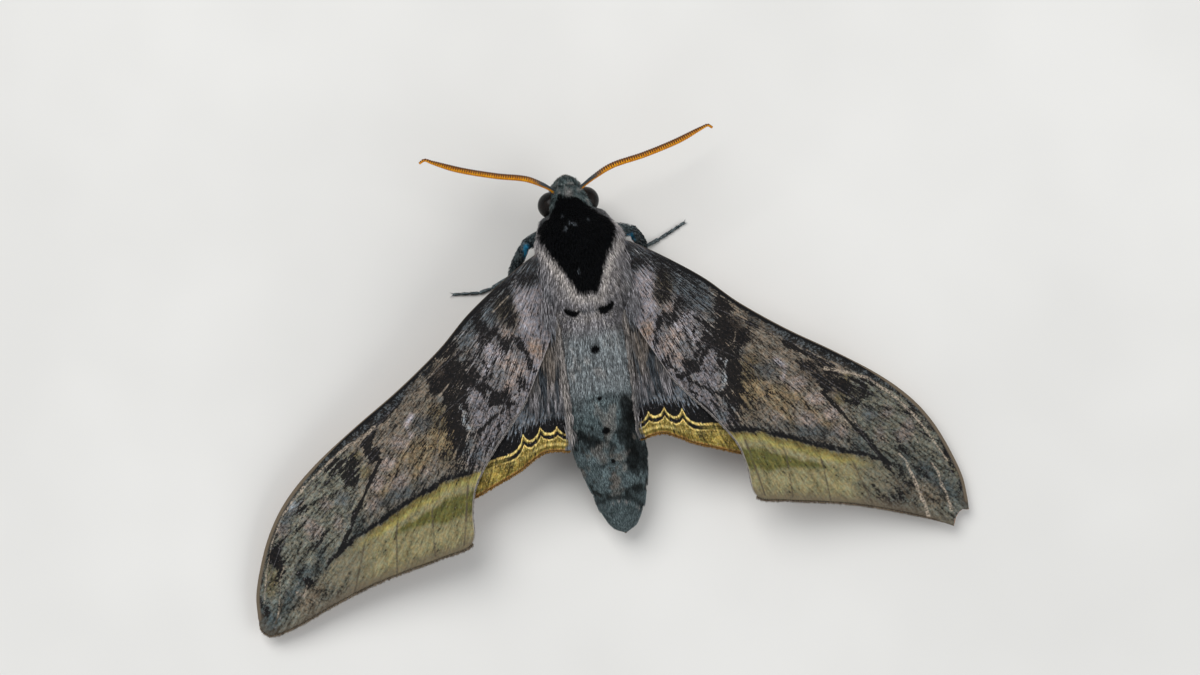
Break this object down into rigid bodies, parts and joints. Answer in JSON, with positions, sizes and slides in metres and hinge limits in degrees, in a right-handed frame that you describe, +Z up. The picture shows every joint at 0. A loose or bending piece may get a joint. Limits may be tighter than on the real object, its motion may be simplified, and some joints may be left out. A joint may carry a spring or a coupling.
{
  "type": "hawk moth",
  "caption": "Hawk moth at rest with its wings spread low, a furred body, hooked feelers and six jointless legs, as a still life-size museum model.",
  "frame": {"origin": "on the floor, under the middle of the moth's bounding box", "axes": "+Z up, +X towards the moth's left wing tip, -Y the way the head points"},
  "size_m": [0.0864, 0.053, 0.0128],
  "materials": {
    "fur_dark": "black velvety hair scales",
    "fur_grey": "soft grey hair scales",
    "fur_slate": "flat slate-grey hair scales",
    "wing_scales": "fine overlapping wing scales, mottled grey, black and olive",
    "hindwing_scales": "fine overlapping wing scales, black and yellow-olive",
    "leg_scales": "close dark blue-grey scales",
    "antenna_horn": "ringed orange-brown horn",
    "eye_lens": "glossy, finely faceted compound eye"
  },
  "bodies": {
    "root": {"head": "fur_dark", "thorax": "fur_dark", "tegula_left": "fur_grey", "tegula_right": "fur_grey", "abdomen": "fur_slate", "tail": "fur_slate", "palp_left": "fur_slate", "palp_right": "fur_slate", "forewing_left": "wing_scales", "forewing_right": "wing_scales", "hindwing_left": "hindwing_scales", "hindwing_right": "hindwing_scales", "fore_leg_left_femur": "leg_scales", "fore_leg_left_tibia": "leg_scales", "fore_leg_left_foot": "leg_scales", "fore_leg_right_femur": "leg_scales", "fore_leg_right_tibia": "leg_scales", "fore_leg_right_foot": "leg_scales", "mid_leg_left_femur": "leg_scales", "mid_leg_left_tibia": "leg_scales", "mid_leg_left_foot": "leg_scales", "mid_leg_right_femur": "leg_scales", "mid_leg_right_tibia": "leg_scales", "mid_leg_right_foot": "leg_scales", "hind_leg_left_femur": "leg_scales", "hind_leg_left_tibia": "leg_scales", "hind_leg_left_foot": "leg_scales", "hind_leg_right_femur": "leg_scales", "hind_leg_right_tibia": "leg_scales", "hind_leg_right_foot": "leg_scales", "proboscis": "leg_scales", "antenna_left": "antenna_horn", "antenna_right": "antenna_horn", "eye_left": "eye_lens", "eye_right": "eye_lens"}
  },
  "joints": []
}
